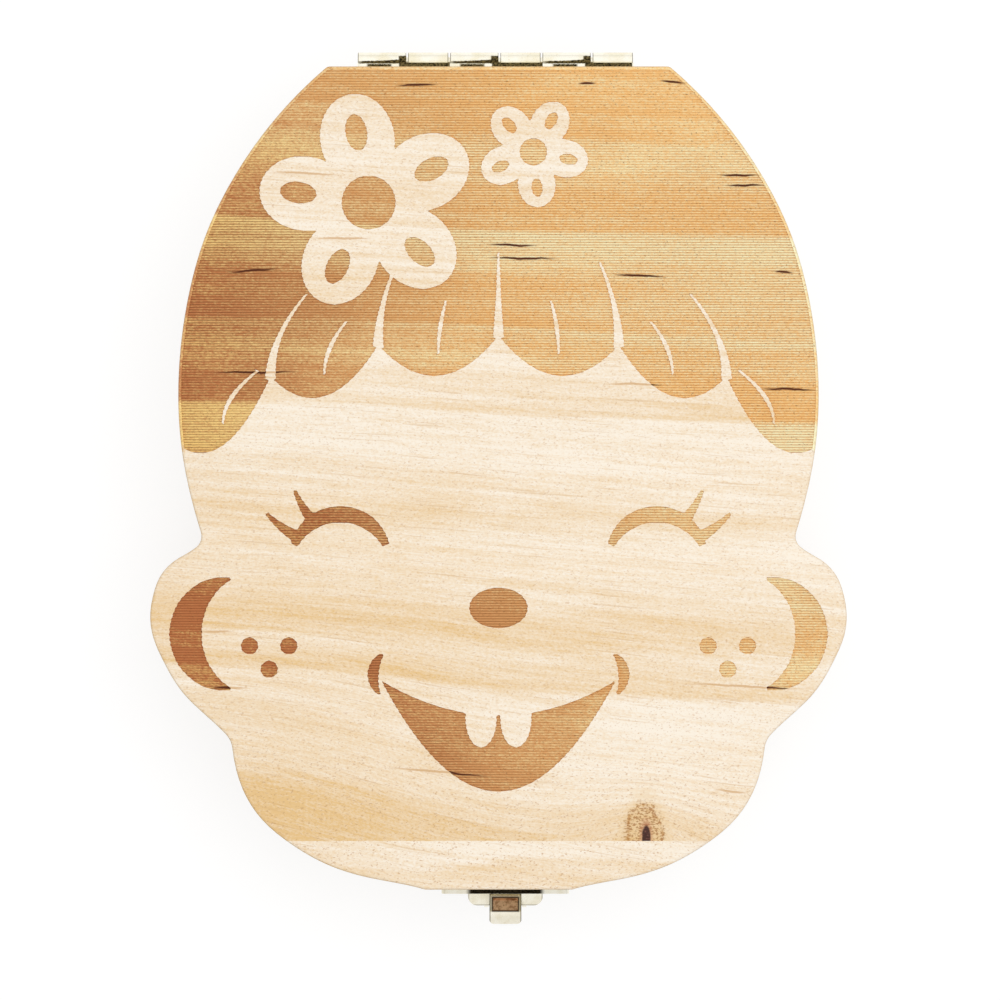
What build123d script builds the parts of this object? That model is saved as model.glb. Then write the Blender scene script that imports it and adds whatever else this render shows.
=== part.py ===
"""Keepsake box for milk teeth, sawn and milled from pine in the outline of a child's head.

The box lies flat. X runs from ear to ear, +Y points from the chin to the hinged crown, and
+Z points up. The origin is the middle of the base's underside. A thick base holds a milled
cell for each of the twenty milk teeth, in two arches, and two pockets in the middle. A thin
lid turns on a brass hinge at the crown, and a small lever latch at the chin holds it shut.
"""

import os
from math import cos, radians, sin, tan

from build123d import *

# The wooden case
head_width = 110.0
head_length = 130.0
base_thickness = 21.0
lid_thickness = 9.0
board_edge_round = 0.4
crown_corner_round = 1.2
upper_neck_round = 2.2
lower_neck_round = 4.0
lid_chin_board_width = 7.7  # from the chin to the glue line across the lid
base_front_board_width = 64.1  # from the chin to the glue line across the base

# Right half of the head's outline, as shares of half the head's width and length
crown_shares = [
    (0.491, 1.0),
    (0.633, 0.881),
    (0.757, 0.735),
    (0.841, 0.590),
    (0.890, 0.444),
    (0.919, 0.235),
    (0.910, 0.073),
    (0.877, -0.066),
    (0.848, -0.149),
]
ear_shares = [
    (0.848, -0.149),
    (0.877, -0.174),
    (0.928, -0.2),
    (0.970, -0.237),
    (0.992, -0.286),
    (1.0, -0.336),
    (0.991, -0.388),
    (0.967, -0.437),
    (0.905, -0.523),
    (0.816, -0.595),
    (0.766, -0.638),
]
jaw_shares = [
    (0.766, -0.638),
    (0.758, -0.690),
    (0.734, -0.757),
    (0.685, -0.824),
    (0.591, -0.892),
    (0.484, -0.942),
    (0.367, -0.972),
    (0.262, -0.989),
]

# Cells for the teeth, in two arches on one oval, and the two pockets inside it
cells_per_arch = 10
molar_cells_per_end = 2
front_cell_radius = 4.7
front_cell_wall = 2.8  # between the two cells in the middle of an arch
molar_cell_radius = 5.5
molar_cell_wall = 4.17  # between the last cells of the back arch and of the front arch
cell_depth = 12.0
pocket_width = 44.0
pocket_length = 22.0
pocket_depth = 14.0
pocket_corner_radius = 4.0
pocket_centre_from_middle = 15.0
rim_chamfer = 0.4

# Countersunk brass screws, all alike
screw_length = 6.0
screw_shank_radius = 0.75
screw_tip_length = 1.4
screw_tip_radius = 0.12
screw_head_radius = 1.45
screw_head_angle = 90.0
screw_slot_length = 1.7
screw_slot_width = 0.35
screw_slot_depth = 0.35
screw_seat_clearance = 0.04
screw_hole_extra_depth = 0.4

# Hinge on the back face of the crown
hinge_offset = -0.5  # the hinge sits a little to one side of the middle
leaf_thickness = 0.7
leaf_height = 7.6  # from the pin's axis to the leaf's free edge
leaf_corner_radius = 0.8
knuckle_pairs = 3
knuckle_outer_radius = 1.4
lid_knuckle_width = 7.7
base_knuckle_width = 6.4
knuckle_gap = 0.3
knuckle_clearance = 0.25  # between a knuckle and the edge of the other leaf
barrel_standoff = 0.1  # between the barrel and the back face
hinge_pin_radius = 0.65
pin_end_round = 0.2
pin_running_clearance = 0.05
pin_held_clearance = 0.02
hinge_screw_count = 3
hinge_screw_pitch = 14.5
hinge_screw_rise = 4.7  # from the pin's axis to the screws

# Latch on the flat front of the chin
latch_offset = 1.1
latch_plate_width = 20.2
latch_plate_thickness = 0.7
latch_plate_corner_radius = 1.0
latch_seat_margin = 0.4  # flat wood beyond each end of the plates
latch_screw_spacing = 15.2
keeper_height = 7.0
keeper_rise = 1.2  # from the joint of lid and base to the keeper's lower edge
keeper_screw_rise = 4.2  # from the keeper's lower edge to its screws
lip_width = 11.9
lip_reach = 3.0  # from the wood
lip_thickness = 0.7
lip_corner_radius = 1.5
lip_bend_radius = 0.5
base_plate_height = 11.0
base_plate_drop = 2.5  # from the joint of lid and base to the plate's upper edge
ear_thickness = 0.7
ear_radius = 1.3
ear_side_gap = 0.15
latch_pin_radius = 0.5
latch_pin_head_radius = 0.85
latch_pin_head_thickness = 0.35
latch_pin_head_gap = 0.05
lever_width = 5.05
lever_thickness = 0.8
lever_lip_gap = 0.25  # between the lever's web and the keeper's lip
hook_gap = 0.15  # between the lever's hook and the keeper's lip
fold_gap = 0.25  # between the lever's fold and the keeper's plate
web_bend_radius = 0.8
fold_radius = 0.5
tab_slope = 35.0
tab_reach = 4.1  # from the wood to the bend before the tab's end
tab_end_reach = 5.6
tab_end_drop = 0.35
tab_bend_radius = 1.0
tab_corner_radius = 0.7
dish_width = 4.2
dish_length = 2.1
dish_depth = 0.25
dish_corner_radius = 0.5

# Levels and places that follow from the sizes above
half_width = head_width / 2
half_length = head_length / 2
back_face = half_length
front_face = -half_length
joint_level = base_thickness
chin_flat_half = latch_plate_width / 2 + abs(latch_offset) + latch_seat_margin
lid_glue_line = front_face + lid_chin_board_width
base_glue_line = front_face + base_front_board_width
cell_turn = 180 / cells_per_arch
arch_half_width = (front_cell_radius + front_cell_wall / 2) / sin(radians(cell_turn / 2))
arch_half_length = (molar_cell_radius + molar_cell_wall / 2) / sin(radians(cell_turn / 2))


def outline_points(shares):
    """Points of the head's outline, from shares of its half width and half length."""
    return [(half_width * x, half_length * y) for x, y in shares]


crown_points = outline_points(crown_shares)
ear_points = outline_points(ear_shares)
jaw_points = outline_points(jaw_shares)
crown_corner = crown_points[0]
upper_neck = ear_points[0]
lower_neck = jaw_points[0]
chin_flat_end = (chin_flat_half, front_face)

# The head's outline: flat crown, side of the head, ear, jaw and flat chin
with BuildSketch() as head_outline:
    with BuildLine():
        Line((0, back_face), crown_corner)
        Spline(crown_points)
        Spline(ear_points)
        Spline(jaw_points + [chin_flat_end])
        Line(chin_flat_end, (0, front_face))
        mirror(about=Plane.YZ)
    make_face()
    for corner, corner_round in (
        (crown_corner, crown_corner_round),
        (upper_neck, upper_neck_round),
        (lower_neck, lower_neck_round),
    ):
        for side in (-1, 1):
            place = (side * corner[0], corner[1])
            nearest = head_outline.vertices().sort_by_distance(place)[0]
            fillet(nearest, corner_round)


def head_board(bottom, thickness, glue_line, keep):
    """A board in the head's outline, cut at its glue line, with rounded upper and lower edges."""
    with BuildPart() as board:
        with BuildSketch(Plane.XY.offset(bottom)):
            add(head_outline.sketch)
        extrude(amount=thickness)
        rims = board.edges().group_by(Axis.Z)
        fillet(rims[0] + rims[-1], board_edge_round)
        split(bisect_by=Plane(origin=(0, glue_line, 0), z_dir=(0, 1, 0)), keep=keep)
    return board.part


# One countersunk screw, with its head's face at the origin and its shank along -Z
screw_head_height = (screw_head_radius - screw_shank_radius) / tan(
    radians(screw_head_angle / 2)
)
with BuildPart() as screw:
    with BuildSketch(Plane.XZ):
        with BuildLine():
            Polyline(
                (0, 0),
                (screw_head_radius, 0),
                (screw_shank_radius, -screw_head_height),
                (screw_shank_radius, screw_tip_length - screw_length),
                (screw_tip_radius, -screw_length),
                (0, -screw_length),
                close=True,
            )
        make_face()
    revolve(axis=Axis.Z)
    with BuildSketch():
        Rectangle(screw_slot_length, screw_slot_width)
        Rectangle(screw_slot_width, screw_slot_length)
    extrude(amount=-screw_slot_depth, mode=Mode.SUBTRACT)


def screw_row(xs, y, z, facing):
    """Planes of the heads of a row of screws, in a face at y that looks along its sign."""
    return [Plane(origin=(x, y, z), z_dir=(0, facing, 0)) for x in xs]


def cut_screw_holes(planes):
    """Countersunk holes, through the plate and into the wood, for a row of screws."""
    with Locations(*planes):
        CounterSinkHole(
            radius=screw_shank_radius + screw_seat_clearance,
            counter_sink_radius=screw_head_radius + screw_seat_clearance,
            depth=screw_length + screw_hole_extra_depth,
            counter_sink_angle=screw_head_angle,
        )


hinge_axis_y = back_face + barrel_standoff + knuckle_outer_radius
leaf_face = back_face + leaf_thickness
hinge_screw_xs = [
    hinge_offset + hinge_screw_pitch * (i - (hinge_screw_count - 1) / 2)
    for i in range(hinge_screw_count)
]
lid_hinge_row = screw_row(hinge_screw_xs, leaf_face, joint_level + hinge_screw_rise, 1)
base_hinge_row = screw_row(hinge_screw_xs, leaf_face, joint_level - hinge_screw_rise, 1)

plate_face = front_face - latch_plate_thickness
keeper_bottom = joint_level + keeper_rise
base_plate_middle = joint_level - base_plate_drop - base_plate_height / 2
latch_screw_xs = [
    latch_offset - latch_screw_spacing / 2,
    latch_offset + latch_screw_spacing / 2,
]
keeper_row = screw_row(
    latch_screw_xs, plate_face, keeper_bottom + keeper_screw_rise, -1
)
base_plate_row = screw_row(latch_screw_xs, plate_face, base_plate_middle, -1)

# The lid: a wide stave, and a narrow one at the chin, glued edge to edge
with BuildPart() as lid_main_board:
    add(head_board(joint_level, lid_thickness, lid_glue_line, Keep.TOP))
    cut_screw_holes(lid_hinge_row)

with BuildPart() as lid_chin_board:
    add(head_board(joint_level, lid_thickness, lid_glue_line, Keep.BOTTOM))
    cut_screw_holes(keeper_row)


def arch_cells(side):
    """Centre and radius of each tooth cell of the back arch (side 1) or front arch (-1)."""
    cells = []
    for i in range(cells_per_arch):
        turn = radians(cell_turn * (i + 1 / 2))
        x = arch_half_width * cos(turn)
        y = side * arch_half_length * sin(turn)
        from_end = min(i, cells_per_arch - 1 - i)
        is_molar = from_end < molar_cells_per_end
        cells.append((x, y, molar_cell_radius if is_molar else front_cell_radius))
    return cells


def milled_board(side):
    """The base's board behind (side 1) or before (-1) its glue line, with its cells cut."""
    with BuildPart() as board:
        keep = Keep.TOP if side > 0 else Keep.BOTTOM
        add(head_board(0, base_thickness, base_glue_line, keep))
        with BuildSketch(Plane.XY.offset(joint_level)):
            for x, y, radius in arch_cells(side):
                with Locations((x, y)):
                    Circle(radius)
        extrude(amount=-cell_depth, mode=Mode.SUBTRACT)
        with BuildSketch(Plane.XY.offset(joint_level)):
            with Locations((0, side * pocket_centre_from_middle)):
                RectangleRounded(pocket_width, pocket_length, pocket_corner_radius)
        extrude(amount=-pocket_depth, mode=Mode.SUBTRACT)
        mouths = board.faces().sort_by(Axis.Z)[-1].inner_wires()
        chamfer([edge for mouth in mouths for edge in mouth.edges()], rim_chamfer)
    return board.part


# The base: two boards glued edge to edge, each with one arch of cells and one pocket
with BuildPart() as base_back_board:
    add(milled_board(1))
    cut_screw_holes(base_hinge_row)

with BuildPart() as base_front_board:
    add(milled_board(-1))
    cut_screw_holes(base_plate_row)

# The hinge: lid and base knuckles take turns along the pin
knuckle_pitch = lid_knuckle_width + base_knuckle_width + 2 * knuckle_gap
hinge_length = knuckle_pairs * knuckle_pitch - knuckle_gap
hinge_start = hinge_offset - hinge_length / 2
lid_knuckle_starts = [hinge_start + i * knuckle_pitch for i in range(knuckle_pairs)]
base_knuckle_starts = [
    x + lid_knuckle_width + knuckle_gap for x in lid_knuckle_starts
]


def hinge_leaf(side, knuckle_starts, knuckle_width, bore_radius):
    """A leaf and its knuckles, above the pin (side 1) or below it (side -1)."""
    flat_start = knuckle_outer_radius + knuckle_clearance
    flat_height = leaf_height - flat_start
    flat_middle = joint_level + side * (flat_start + flat_height / 2)
    neck_middle = joint_level + side * flat_start / 2
    with BuildPart() as leaf:
        with BuildSketch(Plane.XZ.offset(-back_face)):
            with Locations((hinge_offset, flat_middle)):
                Rectangle(hinge_length, flat_height)
        extrude(amount=-leaf_thickness)
        free_end = leaf.faces().sort_by(Axis.Z)[-1 if side > 0 else 0]
        fillet(free_end.edges().filter_by(Axis.Y), leaf_corner_radius)
        for start in knuckle_starts:
            with BuildSketch(Plane.YZ.offset(start)):
                with Locations((hinge_axis_y, joint_level)):
                    Circle(knuckle_outer_radius)
                with Locations((back_face + leaf_thickness / 2, neck_middle)):
                    Rectangle(leaf_thickness, flat_start)
                with Locations((hinge_axis_y, joint_level)):
                    Circle(bore_radius, mode=Mode.SUBTRACT)
            extrude(amount=knuckle_width)
    return leaf.part


lid_bore_radius = hinge_pin_radius + pin_running_clearance
with BuildPart() as hinge_lid_leaf:
    add(hinge_leaf(1, lid_knuckle_starts, lid_knuckle_width, lid_bore_radius))
    cut_screw_holes(lid_hinge_row)

base_bore_radius = hinge_pin_radius + pin_held_clearance
with BuildPart() as hinge_base_leaf:
    add(hinge_leaf(-1, base_knuckle_starts, base_knuckle_width, base_bore_radius))
    cut_screw_holes(base_hinge_row)

with BuildPart() as hinge_pin:
    with BuildSketch(Plane.YZ.offset(hinge_start)):
        with Locations((hinge_axis_y, joint_level)):
            Circle(hinge_pin_radius)
    extrude(amount=hinge_length)
    fillet(hinge_pin.edges().filter_by(GeomType.CIRCLE), pin_end_round)

with BuildPart() as hinge_lid_screws:
    with Locations(*lid_hinge_row):
        add(screw.part)

with BuildPart() as hinge_base_screws:
    with Locations(*base_hinge_row):
        add(screw.part)


def latch_plate(middle_level, height):
    """A flat plate with rounded corners on the front of the chin."""
    with BuildPart() as plate:
        with BuildSketch(Plane.XZ.offset(-front_face)):
            with Locations((latch_offset, middle_level)):
                RectangleRounded(latch_plate_width, height, latch_plate_corner_radius)
        extrude(amount=latch_plate_thickness)
    return plate.part


# The keeper on the lid: a plate with a lip that the lever's hook closes over
with BuildPart() as latch_keeper:
    add(latch_plate(keeper_bottom + keeper_height / 2, keeper_height))
    with BuildSketch(Plane.XY.offset(keeper_bottom)):
        with Locations((latch_offset, front_face - lip_reach / 2)):
            Rectangle(lip_width, lip_reach)
    lip = extrude(amount=lip_thickness)
    lip_end = latch_keeper.faces().sort_by(Axis.Y)[0]
    fillet(lip_end.edges().filter_by(Axis.Z), lip_corner_radius)
    inner_corner = (latch_offset, plate_face, keeper_bottom + lip_thickness)
    fillet(
        latch_keeper.edges().filter_by(Axis.X).sort_by_distance(inner_corner)[0],
        lip_bend_radius,
    )
    cut_screw_holes(keeper_row)

with BuildPart() as keeper_screws:
    with Locations(*keeper_row):
        add(screw.part)

# The lever's pin stands level with the middle of the base plate, far enough out for the
# lever's web to rise clear of the keeper's lip
lever_knuckle_radius = latch_pin_radius + pin_running_clearance + lever_thickness
web_reach = lip_reach + lever_lip_gap + lever_thickness / 2
pivot_reach = lip_reach + lever_lip_gap + lever_thickness - lever_knuckle_radius
pivot_place = (front_face - pivot_reach, base_plate_middle)
lever_start = latch_offset - lever_width / 2
ear_starts = [
    lever_start - ear_side_gap - ear_thickness,
    lever_start + lever_width + ear_side_gap,
]

with BuildPart() as latch_base_plate:
    add(latch_plate(base_plate_middle, base_plate_height))
    for start in ear_starts:
        with BuildSketch(Plane.YZ.offset(start)):
            with Locations(pivot_place):
                Circle(ear_radius)
            with Locations((front_face - pivot_reach / 2, base_plate_middle)):
                Rectangle(pivot_reach, 2 * ear_radius)
            with Locations(pivot_place):
                Circle(latch_pin_radius + pin_held_clearance, mode=Mode.SUBTRACT)
        extrude(amount=ear_thickness)
    cut_screw_holes(base_plate_row)

with BuildPart() as latch_base_screws:
    with Locations(*base_plate_row):
        add(screw.part)

with BuildPart() as latch_pin:
    ears_width = lever_width + 2 * (ear_side_gap + ear_thickness)
    shank_length = ears_width + 2 * latch_pin_head_gap
    shank_start = latch_offset - shank_length / 2
    with BuildSketch(Plane.YZ.offset(shank_start)):
        with Locations(pivot_place):
            Circle(latch_pin_radius)
    extrude(amount=shank_length)
    for start in (
        shank_start - latch_pin_head_thickness,
        shank_start + shank_length,
    ):
        with BuildSketch(Plane.YZ.offset(start)):
            with Locations(pivot_place):
                Circle(latch_pin_head_radius)
        extrude(amount=latch_pin_head_thickness)
    head_ends = latch_pin.edges().filter_by(GeomType.CIRCLE).group_by(Axis.X)
    fillet(head_ends[0] + head_ends[-1], latch_pin_head_thickness / 2)

# The lever: one strip, rolled round its pin, hooked over the lip and folded back out as a
# thumb tab. Each place is the middle of the strip: its reach from the wood, and its level
slope = radians(tab_slope)
hook_level = keeper_bottom + lip_thickness + hook_gap + lever_thickness / 2
fold_reach = latch_plate_thickness + fold_gap + fold_radius + lever_thickness / 2
fold_tangent = fold_radius / tan(slope / 2)
fold_corner_reach = fold_reach - fold_tangent
tab_level = hook_level + (tab_reach - fold_corner_reach) * tan(slope)
lever_bends = [
    (web_reach, base_plate_middle),
    (web_reach, hook_level),
    (fold_corner_reach, hook_level),
    (tab_reach, tab_level),
    (tab_end_reach, tab_level - tab_end_drop),
]
dish_from_corner = (fold_tangent + (tab_reach - fold_corner_reach) / cos(slope)) / 2
dish_plane = Plane(
    origin=(
        latch_offset,
        front_face
        - fold_corner_reach
        - dish_from_corner * cos(slope)
        + lever_thickness / 2 * sin(slope),
        hook_level + dish_from_corner * sin(slope) + lever_thickness / 2 * cos(slope),
    ),
    x_dir=(1, 0, 0),
    z_dir=(0, sin(slope), cos(slope)),
)

with BuildPart() as latch_lever:
    with BuildSketch(Plane.YZ.offset(lever_start)):
        with BuildLine():
            FilletPolyline(
                *[(front_face - reach, level) for reach, level in lever_bends],
                radius=[web_bend_radius, fold_radius, tab_bend_radius],
            )
        trace(line_width=lever_thickness)
        with Locations(pivot_place):
            Circle(lever_knuckle_radius)
        with Locations(pivot_place):
            Circle(latch_pin_radius + pin_running_clearance, mode=Mode.SUBTRACT)
    extrude(amount=lever_width)
    tab_end = latch_lever.faces().filter_by(GeomType.PLANE).sort_by(Axis.Y)[0]
    fillet(
        tab_end.edges().filter_by(Axis.X, reverse=True),
        tab_corner_radius,
    )
    with BuildSketch(dish_plane):
        RectangleRounded(dish_width, dish_length, dish_corner_radius)
    extrude(amount=-dish_depth, mode=Mode.SUBTRACT)

os.makedirs("parts", exist_ok=True)
for name, piece in (
    ("base_back_board", base_back_board),
    ("base_front_board", base_front_board),
    ("lid_main_board", lid_main_board),
    ("lid_chin_board", lid_chin_board),
    ("hinge_lid_leaf", hinge_lid_leaf),
    ("hinge_base_leaf", hinge_base_leaf),
    ("hinge_pin", hinge_pin),
    ("hinge_lid_screws", hinge_lid_screws),
    ("hinge_base_screws", hinge_base_screws),
    ("latch_keeper", latch_keeper),
    ("keeper_screws", keeper_screws),
    ("latch_base_plate", latch_base_plate),
    ("latch_base_screws", latch_base_screws),
    ("latch_pin", latch_pin),
    ("latch_lever", latch_lever),
):
    piece.part.label = name
    export_step(piece.part, f"parts/{name}.step")
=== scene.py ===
"""The look of the baby tooth box: pine with a laser engraved lid, and bright brass fittings.

Lengths in the tables are millimetres in the model's own frame, and colours are sRGB bytes.
"""

from math import cos, hypot, pi, radians, sin

import bmesh
import bpy
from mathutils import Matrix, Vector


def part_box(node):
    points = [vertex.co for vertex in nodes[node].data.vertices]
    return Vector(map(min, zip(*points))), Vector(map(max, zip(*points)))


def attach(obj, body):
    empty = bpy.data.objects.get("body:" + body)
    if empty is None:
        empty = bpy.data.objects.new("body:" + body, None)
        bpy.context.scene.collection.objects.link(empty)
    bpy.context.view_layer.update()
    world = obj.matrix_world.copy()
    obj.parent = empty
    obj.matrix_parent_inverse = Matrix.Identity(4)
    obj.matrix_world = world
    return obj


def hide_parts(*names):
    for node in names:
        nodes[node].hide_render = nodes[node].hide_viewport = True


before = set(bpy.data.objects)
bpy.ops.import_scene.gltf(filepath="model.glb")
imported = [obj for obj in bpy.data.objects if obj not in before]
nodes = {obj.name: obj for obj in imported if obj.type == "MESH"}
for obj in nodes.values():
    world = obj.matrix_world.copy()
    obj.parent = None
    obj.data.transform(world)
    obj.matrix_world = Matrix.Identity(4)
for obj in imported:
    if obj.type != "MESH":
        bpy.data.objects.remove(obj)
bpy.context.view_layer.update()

MM = 0.001
METRES_TO_MM = 1000.0

# Engraving
ROW_PITCH = 0.41  # between two passes of the laser
STRIP = ROW_PITCH / 2  # from a ridge to the valley beside it
RIDGE_DEPTH = 0.10
VALLEY_DEPTH = 0.26
PLAIN_RIM = 0.08  # flat wood between the last groove and the lid's rounded edge
ROW_STAGGER = 0.04  # the laser's forward and backward passes don't quite meet
SHORTEST_RUN = 0.2
MOST_SLANT = 2.2  # how far a groove's end may lean to follow a shape's edge
CAP_SHARE = 0.4  # how far each end leans in where a shape starts or ends inside a strip
LEAST_GAP = 0.04
LEAST_STRIP = STRIP / 3  # how narrow the last strip may be
SNAP = 0.004  # how far an outline's vertex may move onto a line between two rows
TOUCH = SNAP / 4  # how close to such a line a vertex has to be to lie on it
FLATNESS = 0.0004
WELD = 1e-6  # in metres, as it comes before the change to millimetres
KEYS_PER_MM = 1e4  # how finely places are told apart
EDGE_ROUND = 0.45
EDGE_FADE = 1.1  # share of the burn lost per millimetre down the rounded edge
EDGE_INSET = 0.97  # where the burn of the rounded edge is looked up, towards the middle
FACING_UP = 0.9  # least height of a flat face's normal
ROUNDED_UP = 0.1  # least height of a rounded edge's normal
CHIN_SPAN = 1.0  # how far the lowest row's end points lie from its outermost one
ROW_SPAN = 2.0
SMOOTH_ANGLE = 30  # degrees

# A flower's parts, as shares of its size: how far out, half length and half width
PETALS = 5
PETAL = (0.60, 0.42, 0.345)
PETAL_MARK = (0.66, 0.17, 0.10)
FLOWER_DISC = 0.42
FLOWER_HEART = 0.25
FLOWERS = ((-20.5, 43.5, 17.0, 100), (5.5, 51.5, 8.6, 60))  # centre, size and turn

# The fringe: the points between its locks, and the plain lines that part them
FRINGE = [
    (-60, 0), (-51, 5.5), (-36, 16), (-19, 21), (0, 22.5), (19, 21), (36, 16), (51, 5.5), (60, 0),
]
FRINGE_DROP = 5.6
HAIR_TOP = 70
PARTING = {"lean": 0.16, "start": -0.4, "rise": 13.5, "steps": 12, "widths": [1.7, 0.75, 0.3]}
WISP = {"lean": 0.13, "start": 3.4, "rise": 8.5, "steps": 10, "widths": [0.3, 0.7, 0.3]}

# The face: arcs are centre, radius, first and last angle and steps, for the side where x > 0
EYELID = (25, -13.5, 7.8, 22, 158, 24)
EYELID_WIDTHS = [1.2, 2.3, 2.6, 2.3, 1.2]
LASHES = (((31.2, -9.6), (36.6, -5.6)), ((28.6, -7.6), (32.2, -1.9)))
LASH_BOW = (0.5, -0.4)
LASH_STEPS = 8
LASH_WIDTHS = [2.1, 1.3, 0.5]
FRECKLES = ((-3.1, 0.0), (3.1, 0.0), (0.0, -3.7))
FRECKLE_CENTRE = (36.2, -26.5)
FRECKLE_RADIUS = 1.35
EAR = (40.5, -24.6, 8.9, 78, -78, 30)
EAR_WIDTHS = [0.5, 3.0, 4.6, 5.2, 4.6, 3.0, 0.5]
NOSE = (0, -20.5, 4.6, 3.2)
MOUTH_CORNER = (18.5, -32.0)
UPPER_LIP_DROP = 5.5
LOWER_LIP_DROP = 17.5
LIP_STEPS = 36
MILK_TEETH = (-2.75, 2.75)
MILK_TOOTH = (-37.9, 2.45, 4.6)  # centre y and half sizes
DIMPLE = (15.2, -31.2, 4.6, 48, -40, 14)
DIMPLE_WIDTHS = [0.5, 1.5, 1.8, 1.4, 0.4]


def oval(cx, cy, rx, ry, turn=0.0, count=56):
    """Points of an oval whose first axis is turned by some degrees."""
    a = radians(turn)
    points = []
    for i in range(count):
        t = 2 * pi * i / count
        x, y = rx * cos(t), ry * sin(t)
        points.append((cx + x * cos(a) - y * sin(a), cy + x * sin(a) + y * cos(a)))
    return points


def arc(side, cx, cy, radius, start, end, count):
    """Points along a circle's arc, in degrees, mirrored where side is -1."""
    turns = [radians(start + (end - start) * i / count) for i in range(count + 1)]
    return [(side * (cx + radius * cos(t)), cy + radius * sin(t)) for t in turns]


def swag(a, b, drop, count=20):
    """Points of a hanging curve between two points."""
    points = []
    for i in range(count + 1):
        t = i / count
        x = a[0] + (b[0] - a[0]) * t
        y = a[1] + (b[1] - a[1]) * t - 4 * drop * t * (1 - t)
        points.append((x, y))
    return points


def ribbon(line, widths):
    """A band along a line of points, whose width changes evenly through the given widths."""
    left, right = [], []
    last = len(line) - 1
    for i, (x, y) in enumerate(line):
        x0, y0 = line[max(i - 1, 0)]
        x1, y1 = line[min(i + 1, last)]
        length = ((x1 - x0) ** 2 + (y1 - y0) ** 2) ** 0.5
        place = i / last * (len(widths) - 1)
        k = min(int(place), len(widths) - 2)
        half = (widths[k] + (widths[k + 1] - widths[k]) * (place - k)) / 2
        nx, ny = -(y1 - y0) / length * half, (x1 - x0) / length * half
        left.append((x + nx, y + ny))
        right.append((x - nx, y - ny))
    return left + right[::-1]


def hair_line(x, y, kind):
    """A tapered line that rises from a point and leans towards the middle of the crown."""
    steps = kind["steps"]
    lean = kind["lean"] * x
    line = []
    for i in range(steps + 1):
        t = i / steps
        line.append((x - lean * t * t, y + kind["start"] + kind["rise"] * t))
    return ribbon(line, kind["widths"])


def eyelash(side, foot, tip):
    """A tapered lash that bends a little between its foot and its tip."""
    bow = ((foot[0] + tip[0]) / 2 + LASH_BOW[0], (foot[1] + tip[1]) / 2 + LASH_BOW[1])
    line = []
    for i in range(LASH_STEPS + 1):
        t = i / LASH_STEPS
        near, middle, far = (1 - t) ** 2, 2 * t * (1 - t), t * t
        x = near * foot[0] + middle * bow[0] + far * tip[0]
        y = near * foot[1] + middle * bow[1] + far * tip[1]
        line.append((side * x, y))
    return ribbon(line, LASH_WIDTHS)


def flower(cx, cy, size, turn):
    """A five petalled flower left plain in the hair, with a burnt middle and petal marks."""
    turns = [turn + 360 / PETALS * i for i in range(PETALS)]

    def petal_shapes(sign, out, long, wide):
        shapes = []
        for degrees in turns:
            a = radians(degrees)
            x, y = cx + out * size * cos(a), cy + out * size * sin(a)
            shapes.append((sign, oval(x, y, long * size, wide * size, degrees)))
        return shapes

    disc = (-1, oval(cx, cy, FLOWER_DISC * size, FLOWER_DISC * size))
    heart = (1, oval(cx, cy, FLOWER_HEART * size, FLOWER_HEART * size))
    return petal_shapes(-1, *PETAL) + [disc] + petal_shapes(1, *PETAL_MARK) + [heart]


# Burnt shapes are added (1) and plain shapes are taken out (-1), one after another
fringe_edge = []
for a, b in zip(FRINGE, FRINGE[1:]):
    fringe_edge += swag(a, b, FRINGE_DROP)[:-1]
hair_corners = [FRINGE[-1], (FRINGE[-1][0], HAIR_TOP), (FRINGE[0][0], HAIR_TOP)]
engraving = [(1, fringe_edge + hair_corners)]
for x, y in FRINGE[2:-2]:
    engraving.append((-1, hair_line(x, y, PARTING)))
for (x0, y0), (x1, y1) in zip(FRINGE[1:-1], FRINGE[2:-1]):
    engraving.append((-1, hair_line((x0 + x1) / 2, (y0 + y1) / 2 - FRINGE_DROP, WISP)))
for placing in FLOWERS:
    engraving += flower(*placing)
for side in (-1, 1):
    engraving.append((1, ribbon(arc(side, *EYELID), EYELID_WIDTHS)))
    for foot, tip in LASHES:
        engraving.append((1, eyelash(side, foot, tip)))
    for dx, dy in FRECKLES:
        x, y = side * FRECKLE_CENTRE[0] + dx, FRECKLE_CENTRE[1] + dy
        engraving.append((1, oval(x, y, FRECKLE_RADIUS, FRECKLE_RADIUS)))
    engraving.append((1, ribbon(arc(side, *EAR), EAR_WIDTHS)))
engraving.append((1, oval(*NOSE)))
right_corner, left_corner = MOUTH_CORNER, (-MOUTH_CORNER[0], MOUTH_CORNER[1])
upper_lip = swag(left_corner, right_corner, UPPER_LIP_DROP, LIP_STEPS)
lower_lip = swag(right_corner, left_corner, LOWER_LIP_DROP, LIP_STEPS)
engraving.append((1, upper_lip + lower_lip))
for x in MILK_TEETH:
    engraving.append((-1, oval(x, *MILK_TOOTH)))
for side in (-1, 1):
    engraving.append((1, ribbon(arc(side, *DIMPLE), DIMPLE_WIDTHS)))


def crossings(shape, y):
    """The stretches of the line at y that lie inside a closed shape."""
    xs = []
    for (x0, y0), (x1, y1) in zip(shape, shape[1:] + shape[:1]):
        if (y0 <= y) != (y1 <= y):
            xs.append(x0 + (x1 - x0) * (y - y0) / (y1 - y0))
    xs.sort()
    return list(zip(xs[::2], xs[1::2]))


def joined(runs):
    """Sorted stretches, with those that touch made one."""
    result = []
    for a, b in sorted(runs):
        if result and a <= result[-1][1] + SHORTEST_RUN:
            result[-1] = (result[-1][0], max(b, result[-1][1]))
        else:
            result.append((a, b))
    return result


def without(runs, holes):
    """What is left of the stretches outside the holes."""
    for low, high in holes:
        kept = []
        for a, b in runs:
            kept += [(a, min(b, low)), (max(a, high), b)]
        runs = [(a, b) for a, b in kept if b - a > 0]
    return runs


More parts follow.
